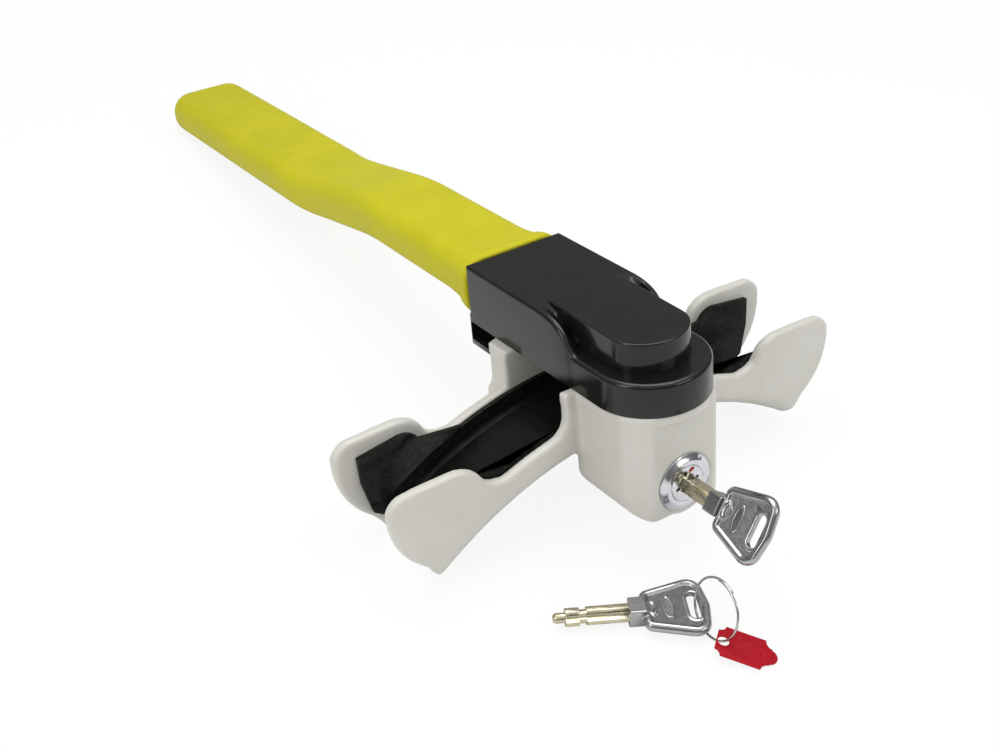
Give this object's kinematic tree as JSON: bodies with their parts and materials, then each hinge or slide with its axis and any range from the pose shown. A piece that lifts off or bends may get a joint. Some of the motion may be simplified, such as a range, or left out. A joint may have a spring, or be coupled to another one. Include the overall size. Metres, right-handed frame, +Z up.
{
  "type": "steering wheel lock",
  "caption": "Steering wheel lock: arched cast saddle with ears for the rim, a long gripped arm on a pivot, a cross key cylinder, and a loose key on a ring with a tag.",
  "frame": {"origin": "middle of the lined floor of the rim channel, where the wheel rim seats", "axes": "+Z is up, square to the table that the lock lies on. +Y runs along the arm, in plan, from the lock to the end of the grip. +X runs across the saddle, to the right as seen from the lock face."},
  "size_m": [0.2308, 0.559, 0.1002],
  "materials": {
    "cast_paint": "satin paint over cast metal",
    "liner_rubber": "satin",
    "zinc_steel": "zinc plated",
    "spring_steel": "drawn wire and spring strip",
    "nylon": "moulded",
    "lock_chrome": "polished",
    "pin_brass": "turned",
    "gloss_black": "polished mould finish",
    "grip_vinyl": "soft dipped vinyl with a fine grain",
    "shank_nickel": "nickel plated brass",
    "bow_chrome": "cast and plated",
    "ring_wire": "polished wire",
    "tag_plastic": "satin"
  },
  "bodies": {
    "saddle": {"cast_body": "cast_paint", "channel_liner": "liner_rubber", "pivot_shaft": "zinc_steel", "pivot_washer": "zinc_steel", "retaining_ring": "spring_steel", "thrust_washer": "nylon", "lock_barrel": "zinc_steel", "lock_bezel": "lock_chrome", "barrel_grub_screw": "zinc_steel", "driver_pins": "pin_brass", "pin_springs": "spring_steel", "rear_cover": "cast_paint", "cover_screws": "zinc_steel"},
    "arm": {"arm_bar": "zinc_steel", "pivot_bush": "pin_brass", "arm_housing": "gloss_black", "pivot_cap": "gloss_black", "rim_pad": "liner_rubber", "housing_screws": "zinc_steel", "grip_sleeve": "grip_vinyl"},
    "plug": {"lock_plug": "lock_chrome", "key_pins": "pin_brass", "plug_cam": "zinc_steel", "cam_screw": "zinc_steel"},
    "bolt": {"lock_bolt": "zinc_steel"},
    "key": {"key_shank": "shank_nickel", "key_bow": "bow_chrome"},
    "spare_key": {"spare_key_shank": "shank_nickel", "spare_key_bow": "bow_chrome"},
    "ring": {"key_ring": "ring_wire"},
    "tag": {"key_tag": "tag_plastic"}
  },
  "joints": [
    {"name": "arm_swing", "type": "hinge", "parent": "saddle", "child": "arm", "pos_m": [0, -0.03639, 0.02918], "axis": [0, 0.135, 0.9908], "range_deg": [-110, 110]},
    {"name": "plug_turn", "type": "hinge", "parent": "saddle", "child": "plug", "pos_m": [0, -0.04121, -0.00619], "axis": [0, 0.9908, -0.135], "range_deg": [0, 90]},
    {"name": "bolt_slide", "type": "slide", "parent": "saddle", "child": "bolt", "axis": [0, 0.135, 0.9908], "range_m": [0, 0.0057]},
    {"name": "key_slide", "type": "slide", "parent": "plug", "child": "key", "axis": [0, -0.9908, 0.135], "range_m": [-0.0145, 0.032]},
    {"name": "spare_key_lift", "type": "slide", "parent": "saddle", "child": "spare_key", "axis": [0, 0, 1], "range_m": [0, 0.06]},
    {"name": "ring_turn", "type": "hinge", "parent": "spare_key", "child": "ring", "pos_m": [-0.01837, -0.10639, -0.02787], "axis": [-0.9675, 0.0677, 0.2436], "range_deg": [0, 6]},
    {"name": "tag_swing", "type": "hinge", "parent": "ring", "child": "tag", "pos_m": [-0.02113, -0.11505, -0.03645], "axis": [-0.7771, -0.6293, 0], "range_deg": [0, 10]}
  ],
  "couplings": [
    {"joint": "bolt_slide", "follows": "plug_turn", "m_per_rad": 0.0036013}
  ]
}
